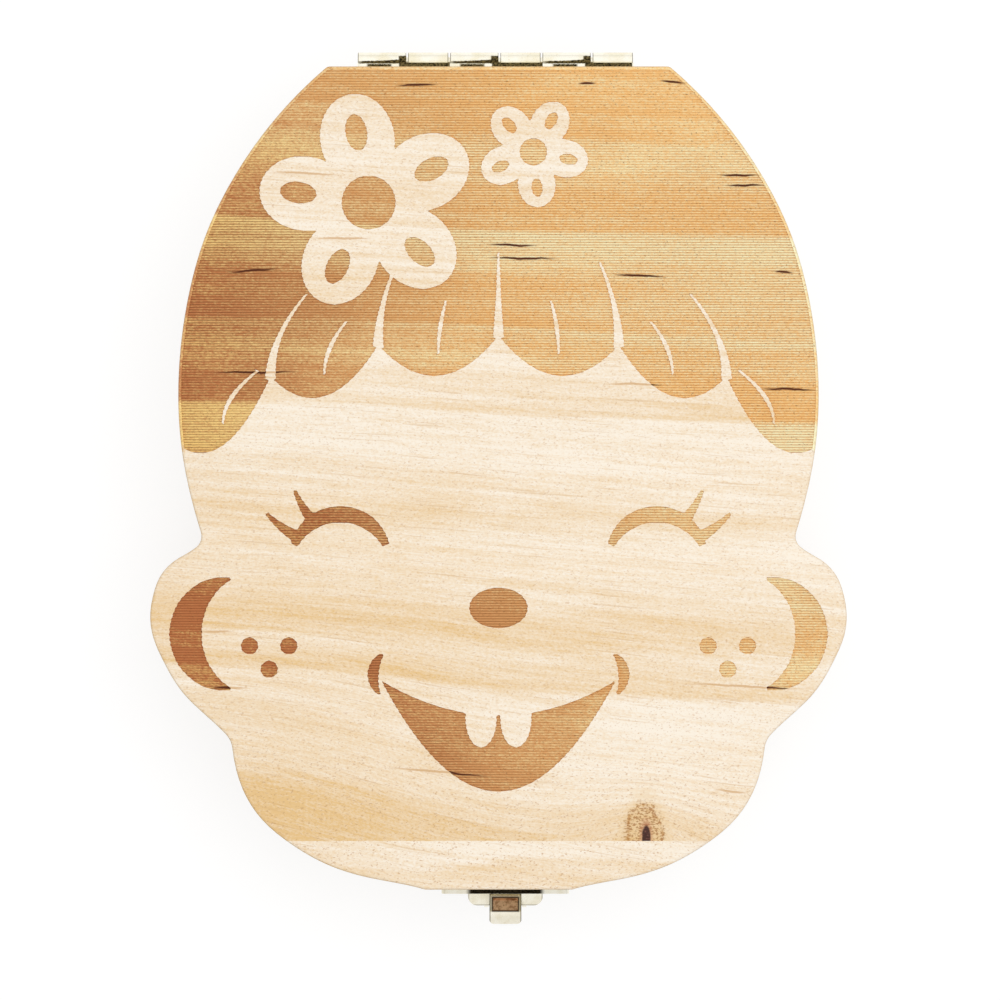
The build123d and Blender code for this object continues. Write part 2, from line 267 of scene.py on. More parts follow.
def shape_runs(y):
    """The stretches of the line at y that lie inside the engraving."""
    runs = []
    for sign, shape in engraving:
        inside = crossings(shape, y)
        runs = joined(runs + inside) if sign > 0 else without(runs, inside)
    return joined([(a, b) for a, b in runs if b - a > SHORTEST_RUN])


def is_burnt(x, y):
    """Whether the engraving covers a place."""
    return any(a <= x <= b for a, b in shape_runs(y))


def burnt_runs(y0, y1, limits, stagger):
    """The burnt stretches of one strip: both ends of each on its lower and upper line."""
    near = (shape_runs(y0), shape_runs(y1))
    result = []
    for run in shape_runs((y0 + y1) / 2):
        cap = CAP_SHARE * (run[1] - run[0])
        lines = []
        for runs, (low, high) in zip(near, limits):
            met = [r for r in runs if r[0] < run[1] and r[1] > run[0]]
            aims = (met[0][0], met[-1][1]) if met else (run[0] + cap, run[1] - cap)
            leans = [min(max(aim - x, -MOST_SLANT), MOST_SLANT) for x, aim in zip(run, aims)]
            ends = [x + slant + stagger for x, slant in zip(run, leans)]
            lines.append([min(max(x, low), high) for x in ends])
        if all(b - a > LEAST_GAP for a, b in lines):
            result.append(lines)
    for one, two in zip(result, result[1:]):
        for k in (0, 1):
            if two[k][0] - one[k][1] < LEAST_GAP:
                centre = (two[k][0] + one[k][1]) / 2
                one[k][1], two[k][0] = centre - LEAST_GAP / 2, centre + LEAST_GAP / 2
    return [lines for lines in result if all(b - a > LEAST_GAP / 2 for a, b in lines)]


def engraved_lid(source):
    """A copy of the lid's wide board with the engraving in its top, in strips of half a groove."""
    mesh = bpy.data.meshes.new("lid_engraved_board")
    piece = bpy.data.objects.new("lid_engraved_board", mesh)
    bpy.context.scene.collection.objects.link(piece)
    bm = bmesh.new()
    bm.from_mesh(source.data)
    bmesh.ops.remove_doubles(bm, verts=bm.verts, dist=WELD)
    for v in bm.verts:
        v.co *= METRES_TO_MM
    top = max(v.co.z for v in bm.verts)
    flat = [
        f for f in bm.faces
        if min(v.co.z for v in f.verts) > top - FLATNESS and f.normal.z > FACING_UP
    ]
    bmesh.ops.delete(bm, geom=flat, context="FACES")
    rim = [e for e in bm.edges if e.is_boundary]
    low_y = min(v.co.y for e in rim for v in e.verts)
    high_y = max(v.co.y for e in rim for v in e.verts)
    levels = [low_y]
    while levels[-1] + STRIP < high_y - LEAST_STRIP:
        levels.append(levels[-1] + STRIP)
    levels.append(high_y)
    depths = [VALLEY_DEPTH if k % 2 else RIDGE_DEPTH for k in range(len(levels))]

    # The top's outline gets a vertex wherever a line between two rows meets it
    for v in {v for e in rim for v in e.verts}:
        near = min(levels, key=lambda y: abs(y - v.co.y))
        if abs(near - v.co.y) < SNAP:
            v.co.y = near
    for edge in rim:
        a, b = sorted(edge.verts, key=lambda v: v.co.y)
        for y in levels:
            if a.co.y + TOUCH < y < b.co.y - TOUCH:
                share = (y - a.co.y) / (b.co.y - a.co.y)
                edge, a = bmesh.utils.edge_split(edge, a, share)
                a.co.y = y
                edge = next(e for e in a.link_edges if b in e.verts)
    outline = {v for e in bm.edges if e.is_boundary for v in e.verts}
    sides = [
        sorted((v for v in outline if v.co.x < 0), key=lambda v: (v.co.y, -v.co.x * (v.co.y < 0))),
        sorted((v for v in outline if v.co.x >= 0), key=lambda v: v.co.y),
    ]

    def key(x, y, depth):
        return round(x * KEYS_PER_MM), round(y * KEYS_PER_MM), depth

    def place(x, y, depth):
        """The vertex at a place and depth, made when it is first asked for."""
        spot = key(x, y, depth)
        if spot not in made:
            made[spot] = bm.verts.new((x, y, top - depth))
        return made[spot]

    made = {key(v.co.x, v.co.y, 0.0): v for v in outline}
    burn = bm.loops.layers.float_color.new("burn")
    for f in bm.faces:
        for corner in f.loops:
            x, y, z = corner.vert.co
            rounded = f.normal.z > ROUNDED_UP and z > top - EDGE_ROUND and y > 0
            burnt = rounded and is_burnt(EDGE_INSET * x, EDGE_INSET * y)
            share = max(0.0, 1.0 - EDGE_FADE * (top - z)) if burnt else 0.0
            corner[burn] = (share, 0.0, 0.0, 1.0)

    def face(verts, burnt, wall=False):
        """A face round some vertices, marked as burnt, valley floor or groove wall."""
        loop = []
        for v in verts:
            if not loop or (v is not loop[-1] and v is not loop[0]):
                loop.append(v)
        if len(loop) < 3:
            return
        new = bm.faces.new(loop)
        for corner in new.loops:
            valley = 1.0 if corner.vert.co.z < top - (RIDGE_DEPTH + VALLEY_DEPTH) / 2 else 0.0
            corner[burn] = (burnt, valley, 1.0 if wall else 0.0, 1.0)

    def chain(side, y0, y1):
        return [v for v in sides[side] if y0 - TOUCH <= v.co.y <= y1 + TOUCH]

    rows = []
    for k, (y0, y1) in enumerate(zip(levels, levels[1:])):
        left, right = chain(0, y0, y1), chain(1, y0, y1)
        if k == 0:
            left = [v for v in left if v.co.x <= min(w.co.x for w in left) + CHIN_SPAN]
            right = [v for v in right if v.co.x >= max(w.co.x for w in right) - CHIN_SPAN]
        inmost_left = min(v.co.x for v in left) + ROW_SPAN
        inmost_right = max(v.co.x for v in right) - ROW_SPAN
        limits = []
        for y in (y0, y1):
            left_xs = [v.co.x for v in left if abs(v.co.y - y) < SNAP / 2]
            right_xs = [v.co.x for v in right if abs(v.co.y - y) < SNAP / 2]
            low = max(x for x in left_xs if x < inmost_left)
            high = min(x for x in right_xs if x > inmost_right)
            limits.append((low + PLAIN_RIM, high - PLAIN_RIM))
        runs = []
        if 0 < k < len(levels) - 2:
            runs = burnt_runs(y0, y1, limits, ROW_STAGGER * (-1) ** (k // 2))
        rows.append((runs, left, right, limits))

    marks = []
    for k in range(len(levels)):
        xs = {x for run in rows[k - 1][0] for x in run[1]} if k > 0 else set()
        if k < len(rows):
            xs |= {x for run in rows[k][0] for x in run[0]}
        marks.append(sorted(xs))
    ends = [[v for v in outline if abs(v.co.y - y) < TOUCH] for y in (low_y, high_y)]

    def line(k, a, b, depth):
        """Vertices on the line below row k, from a to b, with every mark between them."""
        xs = [x for x in marks[k] if a < x < b]
        points = [place(x, levels[k], depth) for x in [a] + xs + [b]]
        if k in (0, len(levels) - 1):
            extra = [v for v in ends[0 if k == 0 else 1] if a < v.co.x < b and v not in points]
            points = sorted(points + extra, key=lambda v: v.co.x)
        return points

    for k, (runs, left, right, limits) in enumerate(rows):
        y0, y1 = levels[k], levels[k + 1]
        whole = 1.0 if k == len(rows) - 1 and is_burnt(0, y0 - ROW_PITCH) else 0.0
        starts = [None] + [[line_ends[1] for line_ends in run] for run in runs]
        stops = [[line_ends[0] for line_ends in run] for run in runs] + [None]
        left_low = [v for v in left if v.co.y < y0 + TOUCH]
        left_high = [v for v in left if v.co.y > y1 - TOUCH]
        right_low = [v for v in right if v.co.y < y0 + TOUCH]
        right_high = [v for v in right if v.co.y > y1 - TOUCH]
        inner_left = [v for v in left if y0 + TOUCH < v.co.y < y1 - TOUCH]
        inner_right = [v for v in right if y0 + TOUCH < v.co.y < y1 - TOUCH]
        for start, stop in zip(starts, stops):
            low_a = start[0] if start else min(v.co.x for v in left_low)
            low_b = stop[0] if stop else max(v.co.x for v in right_low)
            high_a = start[1] if start else min(v.co.x for v in left_high)
            high_b = stop[1] if stop else max(v.co.x for v in right_high)
            ring = line(k, low_a, low_b, 0.0)
            if stop is None:
                ring += inner_right
            ring += line(k + 1, high_a, high_b, 0.0)[::-1]
            if start is None:
                ring += inner_left[::-1]
            at_left = stop and start is None and low_b <= limits[0][0] and high_b <= limits[1][0]
            at_right = start and stop is None and low_a >= limits[0][1] and high_a >= limits[1][1]
            face(ring, 1.0 if at_left or at_right else whole)
        for (a0, b0), (a1, b1) in runs:
            low, high = line(k, a0, b0, depths[k]), line(k + 1, a1, b1, depths[k + 1])
            face(low + high[::-1], 1.0)
            for x0, x1, end in ((a0, a1, 0), (b0, b1, 1)):
                quad = [place(x0, y0, 0.0), low[-end], high[-end], place(x1, y1, 0.0)]
                face(quad, 1.0, wall=True)
    for k in range(1, len(levels) - 1):
        below = [run[1] for run in rows[k - 1][0]]
        above = [run[0] for run in rows[k][0]]
        for a, b in zip(marks[k], marks[k][1:]):
            x = (a + b) / 2
            states = [any(p < x < q for p, q in runs) for runs in (below, above)]
            if states[0] != states[1]:
                quad = [place(a, levels[k], 0.0), place(b, levels[k], 0.0)]
                quad += [place(b, levels[k], depths[k]), place(a, levels[k], depths[k])]
                face(quad, 1.0, wall=True)

    bmesh.ops.recalc_face_normals(bm, faces=bm.faces)
    for f in bm.faces:
        f.smooth = any(v.co.z < top - VALLEY_DEPTH - SNAP for v in f.verts)
    for v in bm.verts:
        v.co *= MM
    bm.to_mesh(mesh)
    bm.free()
    if "custom_normal" in mesh.attributes:
        mesh.attributes.remove(mesh.attributes["custom_normal"])
    mesh.set_sharp_from_angle(angle=radians(SMOOTH_ANGLE))
    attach(piece, "lid")
    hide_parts("lid_main_board")
    return piece


# Materials
SEED_SHARES = (1.0, 1.7, 0.6)  # a seed moves the noise along all three axes


def colour(red, green, blue):
    """A linear colour from sRGB bytes."""
    shares = [c / 255 for c in (red, green, blue)]
    linear = [c / 12.92 if c <= 0.04045 else ((c + 0.055) / 1.055) ** 2.4 for c in shares]
    return (*linear, 1.0)


class Graph:
    """The nodes of a material or a world, and short calls that add to them."""

    def __init__(self, owner):
        owner.use_nodes = True
        self.owner = owner
        self.tree = owner.node_tree

    def finish(self, inputs):
        """Fills the material's own shader in."""
        shader = self.tree.nodes["Principled BSDF"]
        for key, value in inputs.items():
            self.put(value, shader.inputs[key])
        return shader.outputs[0]

    def new(self, kind, inputs, output=0, **settings):
        node = self.tree.nodes.new(kind)
        for name, value in settings.items():
            setattr(node, name, value)
        for key, value in inputs.items():
            self.put(value, node.inputs[key])
        return node.outputs[output]

    def put(self, value, socket):
        if isinstance(value, bpy.types.NodeSocket):
            self.tree.links.new(value, socket)
        else:
            socket.default_value = value

    def math(self, operation, a, b=0.0, c=0.0, clamp=False):
        inputs = {0: a, 1: b, 2: c}
        return self.new("ShaderNodeMath", inputs, operation=operation, use_clamp=clamp)

    def product(self, first, *others):
        for other in others:
            first = self.math("MULTIPLY", first, other)
        return first

    def blend(self, value, factor, addend, clamp=False):
        """A value times a factor, and something added."""
        return self.math("MULTIPLY_ADD", value, factor, addend, clamp)

    def swing(self, noise, amount, middle=0.5):
        """Noise that swings by an amount in all, and is zero at its middle."""
        return self.blend(noise, amount, -amount * middle)

    def vector(self, operation, a, b):
        output = "Value" if operation == "LENGTH" else "Vector"
        return self.new("ShaderNodeVectorMath", {0: a, 1: b}, output, operation=operation)

    def length(self, spot):
        return self.vector("LENGTH", spot, (0, 0, 0))

    def remap(self, value, low, high, to_low=0.0, to_high=1.0, smooth=True):
        """A value's place between low and high, as a place between to_low and to_high."""
        inputs = {"Value": value, "From Min": low, "From Max": high}
        inputs |= {"To Min": to_low, "To Max": to_high}
        kind = "SMOOTHSTEP" if smooth else "LINEAR"
        return self.new("ShaderNodeMapRange", inputs, interpolation_type=kind)

    def noise(self, place, scale, shift=0.0, detail=2.0, roughness=0.5):
        """Noise from 0 to 1, with its own fineness per millimetre along each axis."""
        spot = self.vector("MULTIPLY", place, scale)
        spot = self.vector("ADD", spot, tuple(shift * share for share in SEED_SHARES))
        inputs = {"Vector": spot, "Scale": 1.0, "Detail": detail, "Roughness": roughness}
        return self.new("ShaderNodeTexNoise", inputs, "Fac")

    def mix(self, share, a, b, blend="MIX"):
        node = self.tree.nodes.new("ShaderNodeMix")
        node.data_type = "RGBA"
        node.blend_type = blend
        self.put(share, node.inputs[0])
        self.put(a, node.inputs[6])
        self.put(b, node.inputs[7])
        return node.outputs[2]

    def tint(self, share, tone, over):
        """A tone, with a table's colour over it by a share."""
        return self.mix(share, tone, colour(*over))

    def mapped(self, place, centre, turn, size):
        """Places measured from a centre, along turned axes, as shares of a size."""
        inputs = {"Vector": place, "Location": centre, "Rotation": (0.0, 0.0, turn), "Scale": size}
        return self.new("ShaderNodeMapping", inputs, vector_type="TEXTURE")

    def millimetres(self):
        """Where a point lies in the model's frame."""
        place = self.new("ShaderNodeTexCoord", {}, "Object")
        return self.vector("MULTIPLY", place, (METRES_TO_MM,) * 3)

    def axes(self, vector):
        node = self.tree.nodes.new("ShaderNodeSeparateXYZ")
        self.put(vector, node.inputs[0])
        return node.outputs

    def ramp(self, value, stops):
        """A grey tone by a table of places and values."""
        node = self.tree.nodes.new("ShaderNodeValToRGB")
        for i, (at, tone) in enumerate(stops):
            stop = node.color_ramp.elements[i] if i < 2 else node.color_ramp.elements.new(at)
            stop.position = at
            stop.color = (tone, tone, tone, 1.0)
        self.put(value, node.inputs[0])
        return node.outputs[0]


class Solid(Graph):
    """A material that goes through its piece, with its own start in a table of noises."""

    def __init__(self, name, seed, table):
        super().__init__(bpy.data.materials.new(name))
        self.seed = seed
        self.table = table
        self.place = self.millimetres()
        self.x, self.y, self.z = self.axes(self.place)

    def layer(self, name, place=None):
        fineness, step, detail, roughness = self.table[name]
        spot = self.place if place is None else place
        return self.noise(spot, fineness, self.seed + step, detail, roughness)

    def swung(self, value, layers, swings):
        """A value with a swing of each layer that a table names."""
        for name, amount, middle in swings:
            value = self.math("ADD", value, self.swing(layers[name], amount, middle))
        return value


# Layers of noise: fineness per mm along each axis, seed step, detail and roughness
WOOD_LAYERS = {
    "wander": ((0.012, 0.028, 0.03), 0, 2.0, 0.45),
    "ripple": ((0.05, 0.22, 0.22), 7, 2.0, 0.5),
    "fibre": ((0.24, 5.0, 5.0), 3, 3.0, 0.6),
    "broad": ((0.03, 0.9, 0.9), 11, 2.0, 0.5),
    "thread": ((0.07, 3.2, 3.2), 47, 2.0, 0.55),
    "cloud": ((0.035, 0.05, 0.05), 17, 2.0, 0.5),
    "grit": ((2.6, 4.2, 4.2), 23, 1.0, 0.5),
    "fleck": ((2.0, 3.4, 3.4), 29, 2.0, 0.7),
    "waver": ((0.16, 0.02, 0.02), 31, 4.0, 0.6),
    "ragged": ((0.4, 0.4, 0.05), 41, 3.0, 0.65),
    "broken": ((0.9, 0.9, 0.1), 53, 2.0, 0.6),
    "uneven": ((0.01, 0.11, 0.11), 59, 1.0, 0.5),
    "strength": ((0.008, 0.09, 0.09), 61, 1.0, 0.5),
}
BRASS_LAYERS = {
    "cloud": ((0.35, 0.35, 0.35), 0, 3.0, 0.55),
    "lines": ((0.5, 9.0, 9.0), 5, 2.0, 0.6),
    "pits": ((3.5, 3.5, 3.5), 9, 2.0, 0.6),
    "blots": ((0.9, 1.3, 1.3), 13, 3.0, 0.65),
}
ALL_OVER = 1e4  # a size along an axis that isn't to count

# How late (dark) the wood is along Y on the middle of the lid's top, from crown to chin
LID_BANDS = [
    (65, 0.8), (60, 0.8), (59, 0.95), (58, 0.72), (55, 0.75), (53, 0.42), (51, 0.42), (48.5, 0.5),
    (45.5, 0.7), (40.0, 0.75), (39.5, 0.1), (36, 0.28), (33.5, 0.45), (31, 0.88), (28, 0.75),
    (24.3, 0.95), (23.6, 0.5), (21.2, 0.7), (19, 0.5), (15.5, 0.85), (10.8, 0.85), (10.2, 0.2),
    (5, 0.1), (-5.5, 0.30), (-10, 0.05), (-19, 0.16), (-24, 0.6), (-28.5, 0.15), (-33, 0.55),
    (-34, 0.05), (-50, 0.14), (-57, 0.6),
]
LID_SEED = 3.1
LID_TILT = 0.03
LID_TOP = 30.0
LID_PITH = (-110.0, 8.0)
LID_CALM = 0.35  # the lid's bands wander less than those of the other boards
LID_DIP = -7.0  # how far the bands bend towards the lower left of the lid
DIP_Y = (-12.0, -50.0)
DIP_X = (5.0, -50.0)
WANDER = 9.0
RIPPLE = 1.6

# Growth rings of the other boards
RING_WIDTH = 3.1
RING_UNEVEN = 2.4
RING_POWER = 2.4
RING_END = (1.0, 0.9)
RING_STRENGTH = (0.35, 0.65, 0.45, 1.05)

# Dark streaks of resin: centre x, y, half length and slope
LID_STREAKS = [
    (-12.9, 62.0, 3.9, 0.02), (-30.5, 48.1, 6.4, -0.05), (-24.5, 37.8, 5.2, -0.01),
    (-38.8, 32.8, 4.8, 0.07), (-38.5, 16.7, 7.8, 0.0), (14.0, 62.3, 1.7, 0.04),
    (27.5, 62.6, 2.4, -0.08), (37.9, 47.8, 3.8, -0.02), (38.9, 46.2, 3.7, 0.0),
    (2.2, 36.8, 4.6, -0.03), (3.9, 34.7, 6.3, -0.02), (22.3, 31.9, 5.0, -0.06),
    (45.0, 32.5, 1.8, 0.0), (21.5, 14.8, 5.2, -0.02), (45.7, 14.0, 5.2, -0.01),
    (-44.6, -24.3, 3.2, -0.04), (38.6, -32.9, 10.8, -0.05), (36.7, -49.5, 3.1, -0.06),
    (-9.4, -46.4, 9.5, -0.09), (-42.5, -33.2, 3.4, -0.03),
]
CHIN_STREAKS = [(-20.0, -51.0, 6.0, -0.03)]
BACK_STREAKS = [(-31.0, 58.0, 4.0, 0.03), (8.0, 30.0, 7.0, -0.02), (28.0, 29.0, 4.4, 0.0)]
FRONT_STREAKS = [
    (-46.5, -18.0, 4.0, 0.05), (12.0, -33.0, 5.0, 0.02), *CHIN_STREAKS, (0.0, 1.0, 6.0, 0.0),
]
STREAK_HALF = 0.24
STREAK_WAVER = 1.0
STREAK_EDGE = (1.0, 0.45)
FAINT_SHARE = 0.75
FAINT_STREAK = (214, 170, 118)
BURNT_STREAK = (88, 42, 20)

# Parts of the lid, by the coordinate they depend on
LEFT_PART = (50.0, -52.0)
FAR_LEFT_PART = (12.0, -57.0)
LOW_PART = (10.0, -14.0)
GRAIN_LEAN = (30.0, -40.0, 0.02, 0.075)

# Plain wood: how warm it is by place, by ring and by noise (layer, amount, middle). By place it is
# warmer and darker to the left and lower down: partly painted shade, partly the wood's own tone
WARM_LEFT = 0.12
WARM_LOW = 0.08
WARM_LOW_LEFT = 0.22
WARM_RINGS = (16.0, 4.0, 0.35, 0.9)
WARM_SWINGS = (("cloud", 0.5, 0.58), ("fibre", 0.7, 0.5), ("broad", 0.9, 0.5), ("fleck", 1.1, 0.5))
PALE_WOOD = (254, 243, 226)
WARM_WOOD = (234, 197, 139)
THREADS = (0.60, 0.74, 0.0, 0.45)
THREAD_TONE = (212, 170, 116)
SPECKS = (0.60, 0.74)
SPECK_SHARE = (-30.0, -60.0, 0.42, 0.7)
SPECK_TONE = (202, 158, 112)
# Side faces are darker and warmer: partly the deeper tone of end grain, partly painted warm bounce
# light
SIDE_FACING = (0.9, 0.2, 0.0, 0.9)
SIDE_TINT = (255, 240, 214)

# Burnt wood: how late it is, how far to the left it counts, and its tones. It is darker and warmer to
# the left: partly painted shade, partly the burn's own tone
FADE_START = (33.0, 31.0)
FADE_END = (18.0, 21.0)
FADE_X = (-10.0, 42.0, 0.0, 0.5)
LATE_GAIN = 1.15
LATE_BASE = -0.06
LATE_SWINGS = (("cloud", 0.5, 0.5), ("broad", 0.9, 0.5), ("fibre", 0.8, 0.5), ("fleck", 2.2, 0.5))
LATE_LOW = (32.0, 6.0, 0.2, 0.85)
SIDE_TOP = (66.0, 48.0, 0.45, 1.0)
SIDE_LOW = (32.0, 6.0, 0.1, 0.5)
PALE_CHAR = ((255, 249, 206), (255, 219, 140))  # on the right and on the left
LATE_CHAR = ((251, 206, 137), (196, 124, 76))
# The grooves' valleys are darker: partly deeper char, partly painted shade of the grooves
GROOVE_CHAR = ((194, 130, 66), (112, 60, 32))
GROOVE_POWER = 1.8
GROOVE_DEPTH = (0.35, 0.6, 0.5, 0.85)
SOOT_SPOTS = (0.63, 0.70)
SOOT_SHARE = 0.5
SOOT_TONE = (132, 78, 42)
# The steep groove walls are darker: their burn, with painted shade over it
WALL_SHARE = 0.3
WALL_TONE = (160, 104, 60)

# The knot at the glue line: its middle, and how the grain bends round it
KNOT = (23.1, -56.0)
KNOT_LIFT = 1.0
KNOT_REACH = (8.0, 7.0, ALL_OVER)
KNOT_BULGE = -4.5
KNOT_RAGGED = 0.9
KNOT_POINT = (1.0, 5.0, 1.0, 1.35)
KNOT_SIZE = (2.9, 4.7, ALL_OVER)
KNOT_HALO = ((1.8, 0.9, 0.0, 0.42), (236, 202, 146))
KNOT_FILL = ((1.05, 0.75, 0.0, 0.45), (228, 192, 136))
KNOT_EDGE_AT = 0.93
KNOT_EDGE = (0.16, 0.02)
KNOT_BROKEN = (0.42, 0.60, 0.08, 0.7)
KNOT_EDGE_TONE = (190, 134, 62)
KNOT_DOTS = ((0.46, 0.60), (1.3, 0.95, 0.0, 0.75))
KNOT_DOT_TONE = (168, 112, 58)
CORE_OFFSET = (0.2, -1.2)
CORE_SIZE = (0.66, 2.4, ALL_OVER)
CORE_RAGGED = 0.9
CORE_RIM = ((1.9, 1.0, 0.0, 0.5), (186, 116, 84))
CORE_FILL = (1.15, 0.8, 0.0, 0.95)
CORE_FLECKS = (0.5, 0.7)
CORE_TONES = ((50, 18, 20), (116, 70, 62))

# The wood's surface
WOOD_ROUGHNESS = (0.3, 0.7, 0.56, 0.70)
WOOD_SPECULAR = 0.3
WOOD_FIBRE_HEIGHT = 0.6
WOOD_GRIT_HEIGHT = 0.4
WOOD_BUMP = {"Strength": 0.25, "Distance": 0.00012}

# The other boards: node, material, seed, pith (y and z), streaks and tilt of the rings
BOARDS = (
    ("lid_chin_board", "pine_chin", 51.3, (-78.0, -22.0), CHIN_STREAKS, 0.05),
    ("base_back_board", "pine_base_back", 17.9, (24.0, 52.0), BACK_STREAKS, -0.01),
    ("base_front_board", "pine_base_front", 33.7, (-38.0, -31.0), FRONT_STREAKS, 0.02),
)


def lid_rings():
    """The lid's bands as distances from its pith."""
    rise = LID_TOP - LID_PITH[1]
    return [(hypot(y - LID_PITH[0], rise), late) for y, late in reversed(LID_BANDS)]


def ring_bands(g, radius, rings):
    """How late the wood is at a distance from the pith, by a table."""
    first, last = rings[0][0], rings[-1][0]
    stops = [((at - first) / (last - first), late) for at, late in rings]
    return g.ramp(g.remap(radius, first, last, smooth=False), stops)


def growth_rings(g, radius):
    """Rings of uneven width, each pale at first and golden at its outer edge."""
    count = g.blend(g.layer("uneven"), RING_UNEVEN, g.math("DIVIDE", radius, RING_WIDTH))
    part = g.math("FRACT", count)
    late = g.product(g.math("POWER", part, RING_POWER), g.remap(part, *RING_END))
    return g.product(late, g.remap(g.layer("strength"), *RING_STRENGTH))


def ring_shift(g, tilt, knot, burnt):
    """How far the rings wander along Y, in millimetres."""
    wander = g.swing(g.layer("wander"), WANDER)
    shift = g.math("ADD", wander, g.swing(g.layer("ripple"), RIPPLE))
    if burnt:
        shift = g.product(shift, LID_CALM)
    shift = g.math("ADD", shift, g.product(g.x, tilt))
    if burnt:
        dip = g.product(g.remap(g.y, *DIP_Y), g.remap(g.x, *DIP_X))
        shift = g.blend(dip, LID_DIP, shift)
    if knot:
        spot = g.mapped(g.place, (knot[0], knot[1] - KNOT_LIFT, 0), 0.0, KNOT_REACH)
        square = g.math("POWER", g.length(spot), 2.0)
        shift = g.blend(g.math("EXPONENT", g.product(square, -1.0)), KNOT_BULGE, shift)
    return shift


def charred(g, wood, ring, layers, low):
    """The lid's top, with the burnt colours wherever the engraving is."""
    mask = g.tree.nodes.new("ShaderNodeVertexColor")
    mask.layer_name = "burn"
    parts = g.tree.nodes.new("ShaderNodeSeparateColor")
    g.put(mask.outputs[0], parts.inputs[0])
    char, valley, wall = parts.outputs
    # The burn is lighter to the right and darker and warmer to the left: partly painted shade, partly
    # the burn's own tone
    fade = g.product(g.remap(g.y, *FADE_START), g.remap(g.y, *FADE_END), g.remap(g.x, *FADE_X))
    late = g.product(g.blend(ring, LATE_GAIN, LATE_BASE), g.math("SUBTRACT", 1.0, fade))
    late = g.swung(late, layers, LATE_SWINGS)
    late = g.blend(low, g.remap(g.x, *LATE_LOW), late, clamp=True)
    side = g.product(g.remap(g.x, *FAR_LEFT_PART), g.remap(g.y, *SIDE_TOP))
    side = g.blend(low, g.remap(g.x, *SIDE_LOW), side, clamp=True)
    pale, dark, grooved = [
        g.mix(side, colour(*right), colour(*left))
        for right, left in (PALE_CHAR, LATE_CHAR, GROOVE_CHAR)
    ]
    # Darker valleys: partly deeper char, partly painted shade of the grooves
    groove = g.product(g.math("POWER", valley, GROOVE_POWER), g.remap(layers["cloud"], *GROOVE_DEPTH))
    tone = g.mix(groove, g.mix(late, pale, dark), grooved)
    tone = g.tint(g.product(g.remap(layers["grit"], *SOOT_SPOTS), SOOT_SHARE), tone, SOOT_TONE)
    # Painted shade on the steep groove walls, over their burn
    tone = g.tint(g.product(wall, WALL_SHARE), tone, WALL_TONE)
    return g.mix(char, wood, tone), char


def resin(g, wood, streaks, char):
    """Fine dark lines along the grain."""
    nearest = None
    waver = g.swing(g.layer("waver"), STREAK_WAVER)
    lifted = g.vector("ADD", g.place, g.new("ShaderNodeCombineXYZ", {1: waver}))
    for cx, cy, half, slope in streaks:
        reach = g.length(g.mapped(lifted, (cx, cy, 0), slope, (half, STREAK_HALF, ALL_OVER)))
        nearest = reach if nearest is None else g.math("MINIMUM", nearest, reach)
    faint = g.tint(FAINT_SHARE, wood, FAINT_STREAK)
    strong = g.tint(char, faint, BURNT_STREAK) if char else faint
    return g.mix(g.remap(nearest, *STREAK_EDGE), wood, strong)


def knotted(g, wood, layers, knot):
    """The half knot that the glue line cuts: a pointed arch of brown dots round a dark core."""
    ragged = g.swing(g.layer("ragged"), KNOT_RAGGED)
    start, end, *widths = KNOT_POINT
    narrow = g.remap(g.y, knot[1] + start, knot[1] + end, *widths)
    across = g.product(g.math("SUBTRACT", g.x, knot[0]), narrow)
    pointed = g.new("ShaderNodeCombineXYZ", {0: across, 1: g.y, 2: g.z})
    reach = g.length(g.mapped(pointed, (0.0, knot[1], 0), 0.0, KNOT_SIZE))
    arch = g.math("ADD", reach, ragged)
    middle = (knot[0] + CORE_OFFSET[0], knot[1] + CORE_OFFSET[1], 0)
    core = g.blend(ragged, CORE_RAGGED, g.length(g.mapped(g.place, middle, 0.0, CORE_SIZE)))
    for spread, tone in (KNOT_HALO, KNOT_FILL):
        wood = g.tint(g.remap(arch, *spread), wood, tone)
    broken = g.remap(g.layer("broken"), *KNOT_BROKEN)
    edge = g.math("ABSOLUTE", g.math("SUBTRACT", arch, KNOT_EDGE_AT))
    wood = g.tint(g.product(g.remap(edge, *KNOT_EDGE), broken), wood, KNOT_EDGE_TONE)
    dots = g.product(g.remap(layers["grit"], *KNOT_DOTS[0]), g.remap(arch, *KNOT_DOTS[1]))
    wood = g.tint(dots, wood, KNOT_DOT_TONE)
    wood = g.tint(g.remap(core, *CORE_RIM[0]), wood, CORE_RIM[1])
    dark, grey = [colour(*tone) for tone in CORE_TONES]
    flecked = g.mix(g.remap(layers["fleck"], *CORE_FLECKS), dark, grey)
    return g.mix(g.remap(core, *CORE_FILL), wood, flecked)


